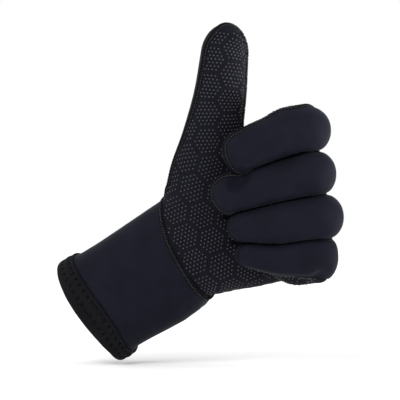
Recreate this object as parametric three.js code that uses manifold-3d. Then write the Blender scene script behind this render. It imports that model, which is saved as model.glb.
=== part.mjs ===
// Neoprene sport glove for the left hand, in the form it keeps when worn as a fist with the thumb up.
// Millimetres, +Z up along the thumb, +X towards the knuckles, -Y on the palm's side.
// The origin is the centre of the cuff's opening.
import * as THREE from "three";
import { mergeVertices } from "three/addons/utils/BufferGeometryUtils.js";
import Module from "manifold-3d";

const wasm = await Module();
wasm.setup();

// Driving dimensions
const WALL = 3; // neoprene, with its knit faces
const GAP = 0.3; // between sewn panels
const REACH = 0.6; // how far a panel's cutting region stands out of the skin
const HEM_WIDTH = 10.8; // the band that is folded double at the opening
const HEM_WALL = 5;
const HEM_PROUD = 0.9; // how far the folded band stands out of the sleeve
const HEM_ROLL = 2.6; // rounding at the opening's edge
const HEM_STEP = 1; // rounding of the band's other edge, where it meets the sleeve
const HEM_BOW = 2; // how much further the opening's rim reaches at its two narrow ends
const CUFF_LENGTH = 67; // opening to wrist seam, along the cuff
const CUFF_AT_OPENING = { across: 33, through: 25.5 }; // half sizes
const CUFF_AT_WRIST = { across: 31.7, through: 22.6 };
const WRIST_LEAN = { palmar: 0.09, thumb: -0.065 }; // slopes of the wrist seam's plane
const KNUCKLE_NEST = 0.8; // how far a proximal length's end lies inside the bent length
const KNUCKLE_COVER = 8; // how far the back panel's side of a finger runs onto the hand
const FOLD_LAP = 0.5; // how far the two halves of the fold's cutting region run into each other
const HAND_END_COVER = 0.6; // share of the hand's round end that the palm panel covers
const FINGER_POWER = 2.25; // sections are superellipses, a little squarer than ellipses
const HAND_POWER = 2.5;
const CUFF_ROOM = 28; // how far the region on the cuff's side stands out of the cuff
const TOUCH = 0.01; // how far a cutting region runs past the seam's gap
const ROUND_RING_SHIFT = 0.4; // keeps a round end's rings clear of its tip
const MERGE_WITHIN = 1e-4;

// How finely a length is lofted: sides of a finger and of the hand, rings in a round end, and
// rings between two sections. The hollow needs fewer of each.
const FINE = { finger: 16, hand: 24, cap: 3, steps: 2 };
const COARSE = { finger: 10, hand: 16, cap: 2, steps: 1 };

// The cuff's axis runs from the opening to the wrist, rising and coming towards the palm's side.
const CUFF_AXIS = new THREE.Vector3(54, -14, 34).normalize();
const CUFF_ACROSS = new THREE.Vector3(-CUFF_AXIS.z, 0, CUFF_AXIS.x).normalize();
const CUFF_PALMAR = new THREE.Vector3().crossVectors(CUFF_AXIS, CUFF_ACROSS);

// Each row is a section: its centre, half width across, half depth towards the palm, and the
// length of a round end that starts there. Sections stand square to the line through the centres.
const section = (x, y, z, across, through, end = through) => ({
  centre: new THREE.Vector3(x, y, z),
  across,
  through,
  end,
});

// A finger is a proximal length from the knuckle and a bent-over length from the middle joint.
const FINGERS = {
  index: {
    knuckle: section(112, -13, 98, 14.2, 15),
    middle_joint: section(123.2, -51, 104.7, 12.9, 13.6),
    end_joint: section(104, -53, 98.6, 13.3, 12.3),
    tip: section(89, -52, 92.7, 11.9, 11.5, 12),
  },
  middle: {
    knuckle: section(115, -9, 75, 13.4, 15),
    middle_joint: section(126.3, -51, 78.2, 12, 13.5),
    end_joint: section(97, -51, 71.3, 11.1, 12),
    tip: section(80.3, -48, 66.8, 11.1, 11.5, 11.5),
  },
  ring: {
    knuckle: section(117.5, -10, 53, 13, 14.5),
    middle_joint: section(130, -50, 53.9, 13.2, 13.5),
    end_joint: section(104, -51, 50.9, 11.5, 12),
    tip: section(89, -48, 49.2, 9.3, 11, 10),
  },
  little: {
    knuckle: section(117, -16, 31.5, 12.6, 13.5),
    middle_joint: section(128.2, -47, 30.2, 12.4, 12.5),
    end_joint: section(108, -48, 30.9, 9, 11),
    tip: section(93, -46, 33, 7.5, 10, 9.5),
  },
};

const THUMB = [
  section(57.6, -17, 54, 16, 17.5),
  section(68, -24, 92, 17.2, 15.5),
  section(74.3, -28.5, 122, 14.8, 13.2),
  section(77.6, -30, 147.5, 13.7, 12, 19),
];

const HAND = [
  section(50.5, -13, 32, 31.5, 22.5),
  section(55.5, -14.3, 35, 31.7, 22.4),
  section(67, -16, 42.5, 35, 20.5),
  section(84, -15, 52, 41.8, 18),
  section(104, -13, 62.5, 45.5, 16.5, 13),
];

const INDEX_PALM_BONE = [section(78, -16, 66, 18, 17), section(110, -13, 95, 13.2, 13.5)];
const THUMB_WEB = [section(68, -21, 84, 13, 12), section(100, -15, 90, 12, 13)];
// The palm panel's slack bulges out in a fold under the little finger.
const LITTLE_FOLD = [section(112, -42, 24.8, 7.6, 7, 6), section(124, -43, 25, 8, 8, 6)];

const squared = (value, power) => Math.sign(value) * Math.abs(value) ** (2 / power);

// Lofting

// Rings of points through the sections, with smooth sizes between them.
function rings(rows, palmar, shape) {
  const { inset = 0, half = false, seam_drop = 0, detail, power, is_hand = false } = shape;
  const { round_start = true, round_end = true, beyond = 0 } = shape;
  const { cap: cap_rings, steps } = detail;
  const sides = is_hand ? detail.hand : detail.finger;
  const path = new THREE.CatmullRomCurve3(rows.map((row) => row.centre), false, "centripetal");
  const sizes = rows.map((row) => new THREE.Vector3(row.across - inset, row.through - inset, 0));
  const size_path = new THREE.CatmullRomCurve3(sizes, false, "centripetal");
  const out = [];
  const ring = (centre, along, across, through, scale) => {
    const deep = palmar.clone().addScaledVector(along, -palmar.dot(along)).normalize();
    const side = new THREE.Vector3().crossVectors(deep, along);
    const points = [];
    const place = (u, v) =>
      points.push(centre.clone().addScaledVector(side, u).addScaledVector(deep, v));
    if (half) place(across, -seam_drop);
    const arc = half ? Math.PI : 2 * Math.PI;
    const count = half ? sides / 2 + 1 : sides;
    for (let i = 0; i < count; i++) {
      const angle = (i / (half ? count - 1 : count)) * arc;
      const u = squared(Math.cos(angle), power) * across * scale;
      const v = squared(Math.sin(angle), power) * through * scale;
      place(u, half ? Math.max(v, -seam_drop) : v);
    }
    if (half) place(-across, -seam_drop);
    out.push(points);
  };
  const start = path.getPoint(0);
  const end = path.getPoint(1);
  const start_along = path.getTangent(0);
  const end_along = path.getTangent(1);
  const first = sizes[0];
  const last = sizes[sizes.length - 1];
  const cap = (centre, along, size, length, turn) => {
    const middle = centre.clone().addScaledVector(along, length * Math.sin(turn));
    return [middle, size.x, size.y, Math.cos(turn)];
  };
  if (round_start) {
    for (let i = cap_rings - ROUND_RING_SHIFT; i > 0; i--) {
      const turn = (i / cap_rings) * (Math.PI / 2);
      const [middle, u, v, scale] = cap(start, start_along, first, -(rows[0].end - inset), turn);
      ring(middle, start_along, u, v, scale);
    }
  } else if (beyond) {
    ring(start.clone().addScaledVector(start_along, -beyond), start_along, first.x, first.y, 1);
  }
  const total = (rows.length - 1) * steps;
  for (let i = 0; i <= total; i++) {
    const size = size_path.getPoint(i / total);
    ring(path.getPoint(i / total), path.getTangent(i / total), size.x, size.y, 1);
  }
  if (round_end) {
    const length = rows[rows.length - 1].end - inset;
    for (let i = 1 - ROUND_RING_SHIFT; i < cap_rings; i++) {
      const turn = (i / cap_rings) * (Math.PI / 2);
      const [middle, u, v, scale] = cap(end, end_along, last, length, turn);
      ring(middle, end_along, u, v, scale);
    }
  } else if (beyond) {
    ring(end.clone().addScaledVector(end_along, beyond), end_along, last.x, last.y, 1);
  }
  return out;
}

// A closed skin over rings that have as many points each.
function skin(ring_list, closed_round = false) {
  const count = ring_list[0].length;
  const positions = ring_list.flat().flatMap((point) => point.toArray());
  const faces = [];
  const bands = closed_round ? ring_list.length : ring_list.length - 1;
  for (let r = 0; r < bands; r++) {
    const near = r * count;
    const far = ((r + 1) % ring_list.length) * count;
    for (let i = 0; i < count; i++) {
      const next = (i + 1) % count;
      faces.push(near + i, near + next, far + next, near + i, far + next, far + i);
    }
  }
  if (!closed_round) {
    const middle_of = (points) =>
      points.reduce((sum, p) => sum.add(p), new THREE.Vector3()).divideScalar(count);
    const last = (ring_list.length - 1) * count;
    const near_middle = positions.length / 3;
    positions.push(...middle_of(ring_list[0]).toArray());
    positions.push(...middle_of(ring_list[ring_list.length - 1]).toArray());
    for (let i = 0; i < count; i++) {
      const next = (i + 1) % count;
      faces.push(near_middle, next, i, near_middle + 1, last + i, last + next);
    }
  }
  const geometry = new THREE.BufferGeometry();
  geometry.setAttribute("position", new THREE.Float32BufferAttribute(positions, 3));
  geometry.setIndex(faces);
  return geometry;
}

function solid(geometry) {
  const merged = mergeVertices(geometry, MERGE_WITHIN);
  const mesh = new wasm.Mesh({
    numProp: 3,
    vertProperties: merged.attributes.position.array,
    triVerts: new Uint32Array(merged.index.array),
  });
  return new wasm.Manifold(mesh);
}

const joined = (solids) => solids.reduce((sum, next) => sum.add(next));

// The hand's form as lengths that are joined

const TOWARDS_PALM = new THREE.Vector3(0, -1, 0);
const INTO_FIST = new THREE.Vector3(0, 1, 0);
const BACK_TO_WRIST = new THREE.Vector3(-1, 0, 0);

// Each length: its sections, which way its palmar side faces, the way it is lofted, and how much
// of its round end the palm panel covers.
const lengths = [
  { rows: HAND, palmar: TOWARDS_PALM, power: HAND_POWER, is_hand: true, end_cover: HAND_END_COVER },
  { rows: THUMB, palmar: TOWARDS_PALM, power: FINGER_POWER, end_cover: 1 },
  { rows: INDEX_PALM_BONE, palmar: TOWARDS_PALM, power: FINGER_POWER },
  { rows: THUMB_WEB, palmar: TOWARDS_PALM, power: FINGER_POWER },
];
const fold = { rows: LITTLE_FOLD, palmar: TOWARDS_PALM, power: FINGER_POWER };
const proximal_lengths = [];
for (const finger of Object.values(FINGERS)) {
  const { knuckle, middle_joint, end_joint, tip } = finger;
  const nested = {
    ...middle_joint,
    across: middle_joint.across - KNUCKLE_NEST,
    through: middle_joint.through - KNUCKLE_NEST,
    end: middle_joint.end - KNUCKLE_NEST,
  };
  proximal_lengths.push({ rows: [knuckle, nested], palmar: BACK_TO_WRIST, power: FINGER_POWER });
  const bent = [middle_joint, end_joint, tip];
  lengths.push({ rows: bent, palmar: INTO_FIST, power: FINGER_POWER, end_cover: 1 });
}

function whole(length, inset) {
  const detail = inset ? COARSE : FINE;
  const open_wrist = { round_start: !length.is_hand, beyond: length.is_hand ? inset : 0 };
  return solid(skin(rings(length.rows, length.palmar, { ...length, ...open_wrist, inset, detail })));
}

// One side of a length from the seam's plane, as a region that stands out of its skin.
function side_of(length, facing, seam_drop) {
  const rows = [...length.rows];
  const covering = (row, inner, share) => {
    const outwards = row.centre.clone().sub(inner.centre).normalize();
    const centre = row.centre.clone().addScaledVector(outwards, row.end * share + REACH);
    return { ...row, centre };
  };
  if (length.start_cover) rows.unshift(covering(rows[0], rows[1], length.start_cover));
  const [inner, last] = rows.slice(-2);
  if (length.end_cover) rows.push(covering(last, inner, length.end_cover));
  const flat_ends = { round_start: false, round_end: false, beyond: seam_drop + GAP + TOUCH };
  const cut = { half: true, seam_drop, inset: -REACH - seam_drop, detail: FINE };
  return solid(skin(rings(rows, facing, { ...length, ...flat_ends, ...cut })));
}

// The palm panel's region: the palmar sides, without the outer sides of the fingers' first lengths.
function palm_region(seam_drop) {
  const palmar_sides = (list) => joined(list.map((each) => side_of(each, each.palmar, seam_drop)));
  const outer_sides = proximal_lengths.map((each) => {
    const [knuckle, joint] = each.rows;
    const back = knuckle.centre.clone().sub(joint.centre).setLength(KNUCKLE_COVER);
    const start = { ...knuckle, centre: back.add(knuckle.centre) };
    return side_of({ ...each, rows: [start, joint] }, each.palmar.clone().negate(), -seam_drop);
  });
  const covered_fold = { ...fold, start_cover: 1, end_cover: 1 };
  const fold_front = side_of(covered_fold, fold.palmar, seam_drop + FOLD_LAP);
  const fold_back = side_of(covered_fold, fold.palmar.clone().negate(), seam_drop + FOLD_LAP);
  const hand = palmar_sides(lengths).subtract(joined(outer_sides));
  return joined([hand, palmar_sides(proximal_lengths), fold_front, fold_back]);
}

// The cuff

// A ring of the cuff at a distance along its axis from the opening.
function cuff_ring(distance, outset, leaning = 0) {
  const share = distance / CUFF_LENGTH;
  const mix = THREE.MathUtils.lerp;
  const across = mix(CUFF_AT_OPENING.across, CUFF_AT_WRIST.across, share) + outset;
  const through = mix(CUFF_AT_OPENING.through, CUFF_AT_WRIST.through, share) + outset;
  const points = [];
  for (let i = 0; i < FINE.hand; i++) {
    const angle = (i / FINE.hand) * 2 * Math.PI;
    const u = squared(Math.cos(angle), HAND_POWER) * across;
    const v = squared(Math.sin(angle), HAND_POWER) * through;
    const slope = leaning * (WRIST_LEAN.palmar * v + WRIST_LEAN.thumb * u);
    const bow = HEM_BOW * (u / across) ** 2 * Math.max(0, 1 - distance / HEM_WIDTH);
    const point = CUFF_AXIS.clone().multiplyScalar(distance - slope - bow);
    points.push(point.addScaledVector(CUFF_ACROSS, u).addScaledVector(CUFF_PALMAR, v));
  }
  return points;
}

function cuff_sleeve() {
  const start = HEM_WIDTH + GAP;
  const end = CUFF_LENGTH - GAP;
  const shares = [0, 1 / 3, 2 / 3, 1];
  const side = (outset) =>
    shares.map((share) => cuff_ring(start + share * (end - start), outset, share));
  return solid(skin([...side(0), ...side(-WALL).reverse()], true));
}

function cuff_hem() {
  const inner = HEM_PROUD - HEM_WALL;
  const soft = HEM_ROLL * (1 - Math.SQRT1_2);
  const profile = [
    [HEM_ROLL, HEM_PROUD],
    [HEM_WIDTH - HEM_STEP, HEM_PROUD],
    [HEM_WIDTH, HEM_PROUD - HEM_STEP],
    [HEM_WIDTH, inner],
    [HEM_ROLL, inner],
    [soft, inner + soft],
    [0, inner + HEM_ROLL],
    [0, HEM_PROUD - HEM_ROLL],
    [soft, HEM_PROUD - soft],
  ];
  return solid(skin(profile.map(([distance, outset]) => cuff_ring(distance, outset)), true));
}

// Everything on the cuff's side of the wrist seam, with the seam's gap.
function cuff_region() {
  const near = cuff_ring(-CUFF_ROOM, CUFF_ROOM);
  const far = cuff_ring(CUFF_LENGTH, CUFF_ROOM, 1);
  return solid(skin([near, far]));
}

// Cutting the panels out of the hand's skin

const all_lengths = [...lengths, ...proximal_lengths, fold];
const outside = joined(all_lengths.map((length) => whole(length, 0)));
const hollow = joined(all_lengths.map((length) => whole(length, WALL)));
const hand_skin = outside.subtract(hollow).subtract(cuff_region());

// The scene graph

function piece(name, form, color, roughness) {
  const mesh = form.getMesh();
  const geometry = new THREE.BufferGeometry();
  const positions = new Float32Array(mesh.numVert * 3);
  for (let i = 0; i < mesh.numVert; i++) {
    const from = i * mesh.numProp;
    positions.set(mesh.vertProperties.subarray(from, from + 3), i * 3);
  }
  geometry.setAttribute("position", new THREE.BufferAttribute(positions, 3));
  geometry.setIndex(new THREE.BufferAttribute(mesh.triVerts, 1));
  geometry.computeVertexNormals();
  const material = new THREE.MeshStandardMaterial({ color, roughness, metalness: 0 });
  const made = new THREE.Mesh(geometry, material);
  made.name = name;
  return made;
}

const glove = new THREE.Group();
glove.name = "neoprene_glove";
glove.add(
  piece("palm_panel", hand_skin.intersect(palm_region(0)), 0x1a1d24, 0.75),
  piece("back_panel", hand_skin.subtract(palm_region(GAP)), 0x151922, 0.85),
  piece("cuff_sleeve", cuff_sleeve(), 0x151922, 0.85),
  piece("cuff_hem", cuff_hem(), 0x111419, 0.9),
);

export default glove;
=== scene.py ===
"""A neoprene sport glove for the left hand, in its worn form: a fist with the thumb up.

The panels are meshed from one distance field of the hand's form, in millimetres, and then set in
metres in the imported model's frame. Seams, threads, stitches and grip dots are laid on that form.
"""
import math

import bpy
import numpy as np
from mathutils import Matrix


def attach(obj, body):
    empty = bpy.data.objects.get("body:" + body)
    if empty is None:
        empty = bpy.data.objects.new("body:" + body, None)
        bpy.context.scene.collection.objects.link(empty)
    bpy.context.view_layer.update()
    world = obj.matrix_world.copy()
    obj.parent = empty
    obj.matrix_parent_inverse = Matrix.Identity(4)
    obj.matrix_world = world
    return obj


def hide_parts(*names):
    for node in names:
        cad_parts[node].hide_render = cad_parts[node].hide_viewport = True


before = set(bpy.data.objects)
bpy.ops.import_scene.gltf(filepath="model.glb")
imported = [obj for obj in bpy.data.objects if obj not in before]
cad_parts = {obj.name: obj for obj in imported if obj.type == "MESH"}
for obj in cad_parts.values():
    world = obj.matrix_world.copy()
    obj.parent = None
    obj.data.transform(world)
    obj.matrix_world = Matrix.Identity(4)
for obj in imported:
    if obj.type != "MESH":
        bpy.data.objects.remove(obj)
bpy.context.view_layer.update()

import openvdb

MM = 0.001

# Camera: the photograph's 400 pixel frame, at the glove's distance
PHOTO_WIDTH_PX = 400
MM_PER_PX = 0.59
CAMERA_DISTANCE = 1100.0
ORIGIN_PX = (92.0, 309.0)
SENSOR = 36.0
CLIP_START = 0.01


def add_camera():
    data = bpy.data.cameras.new("photo_camera")
    data.sensor_width = SENSOR
    data.lens = SENSOR * CAMERA_DISTANCE / (PHOTO_WIDTH_PX * MM_PER_PX)
    data.clip_start = CLIP_START
    camera = bpy.data.objects.new("photo_camera", data)
    middle = PHOTO_WIDTH_PX / 2
    x = (middle - ORIGIN_PX[0]) * MM_PER_PX
    z = (ORIGIN_PX[1] - middle) * MM_PER_PX
    camera.location = (x * MM, -CAMERA_DISTANCE * MM, z * MM)
    camera.rotation_euler = (math.pi / 2, 0, 0)
    bpy.context.collection.objects.link(camera)
    bpy.context.scene.camera = camera


add_camera()

# Driving dimensions in millimetres, the solids' own
WALL = 3.0
GAP = 0.3
HEM_WIDTH = 10.8
HEM_WALL = 5.0
HEM_PROUD = 0.9  # how far the folded band stands out of the sleeve
CUFF_LENGTH = 67.0
CUFF_AT_OPENING = (33.0, 25.5)
CUFF_AT_WRIST = (31.7, 22.6)
WRIST_LEAN_PALMAR = 0.09
WRIST_LEAN_THUMB = -0.065
HAND_POWER = 2.5  # sections are superellipses, a little squarer than ellipses
FINGER_POWER = 2.25

# What the visual model adds to them
BENT_POWER = 2.35  # sections of a finger past its middle joint
WRIST_BOW = 4.5  # how much further the wrist seam lies on the thumb's side
WRIST_BOW_END = 1.3  # how far out the bow grows, in half widths of the cuff

# What is added to the cuff's half width: distance from the opening, thumb's side, little finger's
CUFF_FIT = [
    (0, -0.3, 1.0),
    (6, -0.3, 1.5),
    (10.8, -0.8, 1.0),
    (14, -1.5, -0.3),
    (25, -1.5, 0.3),
    (36, -1.0, 1.3),
    (47, -0.4, 2.1),
    (58, 0.2, 1.5),
    (67, 0.6, -1.3),
]

# How far the hem's rim stands out: share of the way to the thumb's side, length
RIM_OUT = [
    (-1, 0.9), (-0.8, -0.1), (-0.5, 0.6), (-0.2, 1.7),
    (0.1, 2.5), (0.4, 2.75), (0.8, 2.3), (1, 1.8),
]

# How far the hem's inner edge bows towards the wrist: share of the way, length
LIP_IN = [(-1, -2.2), (-0.8, 0), (-0.5, 2.3), (0, 2.1), (0.5, 0.7), (0.8, -0.6), (1, -1.8)]

# Sections: centre x, y, z, half width across, half depth towards the palm
FINGERS = {
    "index": {
        "knuckle": (112, -13, 98, 14.2, 15),
        "middle_joint": (122.6, -51, 103.4, 12.6, 13.6),
        "between": [(113, -52.5, 102.1, 13.7, 13.2)],
        "end_joint": (103, -53, 97.8, 12.1, 12.3),
        "tip": (88, -52, 91.6, 12.3, 11.5),
        "tip_length": 12,
    },
    "middle": {
        "knuckle": (115, -9, 75, 13.4, 15),
        "middle_joint": (125.8, -51, 78.8, 12.7, 13.4),
        "end_joint": (97, -51, 71.8, 11.8, 12),
        "tip": (80.6, -48.5, 67.8, 11.5, 11.5),
        "tip_length": 11.5,
    },
    "ring": {
        "knuckle": (117.5, -10, 53, 13, 14.5),
        "middle_joint": (130, -50, 54.6, 12.7, 13.5),
        "between": [(118, -51.3, 52.3, 12.9, 13.2)],
        "end_joint": (104, -51, 50.9, 11.5, 12),
        "tip": (89, -48, 49.2, 9.3, 11),
        "tip_length": 10,
    },
    "little": {
        "knuckle": (117, -16, 32.3, 11.8, 13.5),
        "middle_joint": (128, -47, 32.6, 11.7, 12.6),
        "between": [(118, -49, 31.4, 10.2, 12.4)],
        "end_joint": (108, -48, 30.9, 9, 11),
        "tip": (93, -46, 33, 7.5, 10),
        "tip_length": 9.5,
        "power": 3.1,
    },
}
THUMB = [
    (58.6, -17, 54, 15, 17.5),
    (62, -20.2, 74, 17.1, 16.5),
    (68, -24, 92, 17.2, 15.5),
    (74.3, -28.5, 122, 14.8, 13.2),
    (77.2, -30, 147.5, 13.2, 12),
]
THUMB_ROUNDS = (17.5, 17.8)  # lengths of the round ends at the root and at the tip
HAND = [
    (50.1, -13, 32.7, 30.7, 22.5),
    (54.8, -14.3, 36.2, 30.3, 22.4),
    (67.4, -16, 41.9, 33.9, 20.5),
    (84.4, -15, 51.4, 41.2, 18),
    (103.4, -13, 63.8, 43, 16.5),
]
HAND_ROUNDS = (9, 13)
INDEX_PALM_BONE = [(78, -16, 66, 18, 17), (110, -13, 95, 13.2, 13.5)]
THUMB_WEB = [(68, -21, 84, 13, 12), (100, -15, 90, 12, 13)]
LITTLE_FOLD = [(109, -37, 24.8, 5.4, 6), (118.5, -42, 22.8, 6.9, 7), (129.5, -42, 23.8, 6, 7)]
LITTLE_FOLD_ROUNDS = (4, 4)
TOWARDS_PALM = (0, -1, 0)
INTO_FIST = (0, 1, 0)
BACK_TO_WRIST = (-1, 0, 0)

# Dents in a finger: place, radius and depth, which is below 0 where it swells. Each finger has a
# shallow one on its upper edge near the end joint. The index finger's tip presses two into the
# middle finger, and the little finger's lower corner has one beside its swelling.
DENTS = {
    "index": [(104, -62, 113.5, 7, 0.8)],
    "middle": [(86.8, -57, 76.2, 4.6, 8), (83, -58, 71.5, 4, 3), (99, -62, 80, 7.5, 1.3)],
    "ring": [(97, -61, 58, 8, 0.7)],
    "little": [(101, -57, 38, 8, 0.6), (131, -56, 21.8, 3.6, 3.2), (134.5, -46, 20, 6, -1.9)],
}

# Between which x a finger's seam leaves its place on the tip, and how far forward it lies past them
SEAM_BACK = {
    "index": (84, 99, 1.6),
    "middle": (74, 86, 0.4),
    "ring": (84, 99, 0.4),
    "little": (84, 99, 0.4),
}

# Vectors


def unit(vector):
    vector = np.asarray(vector, float)
    return vector / np.linalg.norm(vector)


def unit_rows(vectors, least=0):
    return vectors / np.maximum(np.linalg.norm(vectors, axis=-1, keepdims=True), least)


def directions(line):
    """The direction of a line, or of many lines, at each point."""
    return unit_rows(np.gradient(line, axis=-2))


def dot_rows(a, b):
    return np.einsum("ij,ij->i", a, b)


def square_to(vectors, along):
    """What is left of each vector square to a direction of length 1."""
    return vectors - dot_rows(vectors, along)[:, None] * along


def some_square(vectors):
    """For each direction, one that is square to it."""
    helper = np.where(np.abs(vectors[..., 2:]) < 0.8, (0, 0, 1), (1, 0, 0))
    return unit_rows(np.cross(vectors, helper))


def circles(side, up, sides):
    """Points of a circle with radius 1 in the plane of each pair of directions."""
    turn = np.arange(sides) / sides * 2 * np.pi
    across = np.cos(turn)[:, None] * side[..., None, :]
    return across + np.sin(turn)[:, None] * up[..., None, :]


def smooth_rows(rows, rounds):
    """The rows, each mixed with its neighbours. The two end rows stay."""
    for _ in range(rounds):
        rows[1:-1] = (rows[:-2] + 2 * rows[1:-1] + rows[2:]) / 4
    return rows


def smooth_step(value, low, high):
    t = np.clip((value - low) / (high - low), 0, 1)
    return t * t * (3 - 2 * t)


def smooth_min(a, b, reach):
    near = np.maximum(reach - np.abs(a - b), 0) / reach
    return np.minimum(a, b) - near * near * reach * 0.25


def smooth_max(a, b, reach):
    return -smooth_min(-a, -b, reach)


CUFF_AXIS = unit((54, -14, 34))
CUFF_ACROSS = unit((-CUFF_AXIS[2], 0, CUFF_AXIS[0]))
CUFF_PALMAR = np.cross(CUFF_AXIS, CUFF_ACROSS)

# Lines


def spline(rows, per_span):
    """Points of a curve through the rows, each row a point with its sizes."""
    rows = np.asarray(rows, float)
    if len(rows) == 2:
        share = np.linspace(0, 1, per_span + 1)[:, None]
        return rows[0] * (1 - share) + rows[1] * share
    ends = np.vstack([2 * rows[0] - rows[1], rows, 2 * rows[-1] - rows[-2]])
    out = []
    for i in range(1, len(ends) - 2):
        a, b, c, d = ends[i - 1 : i + 3]
        t = (np.arange(per_span) / per_span)[:, None]
        bend = 2 * a - 5 * b + 4 * c - d
        out.append(0.5 * (2 * b + (c - a) * t + bend * t**2 + (3 * b - a - 3 * c + d) * t**3))
    out.append(rows[-1:])
    return np.vstack(out)


def line_length(line):
    return np.linalg.norm(np.diff(line, axis=0), axis=1).sum()


def lengths_along(line):
    """The length from the start of a line to each of its points."""
    return np.concatenate([[0], np.cumsum(np.linalg.norm(np.diff(line, axis=0), axis=1))])


def at_lengths(wanted, line, *others):
    """A line, and what goes with it, read at the wanted lengths along the line."""
    length = lengths_along(line)
    read = []
    for values in (line, *others):
        columns = [np.interp(wanted, length, values[:, k]) for k in range(3)]
        read.append(np.stack(columns, -1))
    return read


def even_line(points, spacing, smoothing=0):
    """The line smoothed and resampled at an even spacing."""
    line = smooth_rows(np.asarray(points, float), smoothing)
    total = lengths_along(line)[-1]
    count = max(int(total / spacing), 2)
    return at_lengths(np.linspace(0, total, count + 1), line)[0]


# The field's box

STEP = 0.85  # the field's spacing
LOW = np.array((30.0, -70.0, 2.0))
HIGH = np.array((149.0, 14.0, 171.0))
COUNTS = np.ceil((HIGH - LOW) / STEP).astype(int)
AXES = [LOW[a] + STEP * np.arange(COUNTS[a]) for a in range(3)]
X, Y, Z = np.meshgrid(*[axis.astype(np.float32) for axis in AXES], indexing="ij", sparse=True)
FAR = 24.0
LENGTH_POINTS = 4  # of a length's middle line, from section to section
LENGTH_ROOM = 18  # how far around it the field goes


def length_field(rows, palmar, power, rounds):
    """A length's box, and in it the signed distance to the skin and the places across the length.

    The places are v towards the palmar side and u sideways. Both ends are round.
    """
    line = spline(rows, LENGTH_POINTS)
    centres = line[:, :3]
    along = directions(centres)
    palmar = np.asarray(palmar, float)
    deep = unit_rows(palmar - (along @ palmar)[:, None] * along)
    side = np.cross(deep, along)
    room = line[:, 3:].max() + LENGTH_ROOM
    low = np.maximum(np.floor((centres.min(0) - room - LOW) / STEP).astype(int), 0)
    high = np.minimum(np.ceil((centres.max(0) + room - LOW) / STEP).astype(int), COUNTS)
    box = tuple(slice(low[a], high[a]) for a in range(3))
    grid = np.meshgrid(*[AXES[a][box[a]] for a in range(3)], indexing="ij")
    place = np.stack([g.astype(np.float32).ravel() for g in grid], 1)
    nearest = np.full(len(place), 1e9, np.float32)
    at = np.zeros(len(place), np.float32)
    for i in range(len(centres) - 1):
        start = centres[i].astype(np.float32)
        run = (centres[i + 1] - centres[i]).astype(np.float32)
        t = np.clip((place - start) @ run / (run @ run), 0, 1)
        off = place - start - t[:, None] * run
        square = dot_rows(off, off)
        nearer = square < nearest
        nearest[nearer] = square[nearer]
        at[nearer] = i + t[nearer]
    knot = np.minimum(at.astype(int), len(centres) - 2)
    share = (at - knot)[:, None]

    def mixed(values):
        values = values.astype(np.float32)
        return values[knot] * (1 - share) + values[knot + 1] * share

    off = place - mixed(centres)
    sizes = mixed(line[:, 3:])
    u = dot_rows(off, mixed(side))
    v = dot_rows(off, mixed(deep))
    w = dot_rows(off, mixed(along))
    past_end = (at > len(centres) - 1.001) & (w > 0)
    before_start = (at < 0.001) & (w < 0)
    end = np.where(past_end, rounds[1], rounds[0])
    q = np.where(past_end | before_start, w / end, 0)
    pu = np.abs(u / sizes[:, 0]) + 1e-6
    pv = np.abs(v / sizes[:, 1]) + 1e-6
    ring = (pu**power + pv**power) ** (1 / power)
    reach = np.sqrt(ring**2 + q**2)
    lean = ring / reach * ring ** (1 - power)
    du = lean * pu ** (power - 1) / sizes[:, 0]
    dv = lean * pv ** (power - 1) / sizes[:, 1]
    steep = np.sqrt(du**2 + dv**2 + (q / reach / end) ** 2)
    read = ((reach - 1) / steep, v, u)
    return box, *(values.astype(np.float32).reshape(high - low) for values in read)


# The glove's form and its seam

TIP_SHIFT = 6.2  # of a finger's seam towards its outer face, at the tip
THUMB_SHIFT = 7.6  # of the thumb's seam towards the palm, on its free edge
THUMB_INNER_SHIFT = 1.5  # and on the edge beside the hand
THUMB_TURN = (-2, 9)  # where one becomes the other, across the thumb
BACK_OF_KNUCKLES = -1.0  # past this y the fingers leave the seam to the hand
SEAM_SOFTNESS = 2.5  # a length's say in the seam falls off over this distance
SEAM_RANGE = (-8, 30)
FOLD_LEAD = 1.5  # how much nearer the fold counts
FOLD_ON_PALM = 6

# How near to each other two skins run together
THUMB_JOIN = 9
WEB_JOIN = 12
BEND_JOIN = 5  # a finger's length from the knuckle and its bent length
FOLD_JOIN = 2.5
BESIDE_JOIN = (3.2, 5)  # two fingers, and what is added to that where they aren't pressed
FIST_JOIN = (0.8, 9)  # the fingers and the hand, likewise

# Creases between pressed fingers
PRESSED = (-32, -18)  # fingers press on each other before the first y, not past the second
CREASE = 0.42  # half the gap between two pressed fingers
CREASE_DEPTH = 2.5
CREASE_ROUNDING = 1.5
CREASE_REACH = 8
CREASE_END_X = (112, 122)
CREASE_END_Y = (-57, -46)
CREASE_LOSS = 0.8  # share of the depth that is lost past the ends above

seam_weight = np.zeros(COUNTS, np.float32)
seam_sum = np.zeros(COUNTS, np.float32)


def note_seam(box, distance, towards_palm):
    """Adds a length's say in where the seam lies."""
    share = np.exp(-np.clip(distance, *SEAM_RANGE) / SEAM_SOFTNESS)
    seam_weight[box] += share
    seam_sum[box] -= share * towards_palm


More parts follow.
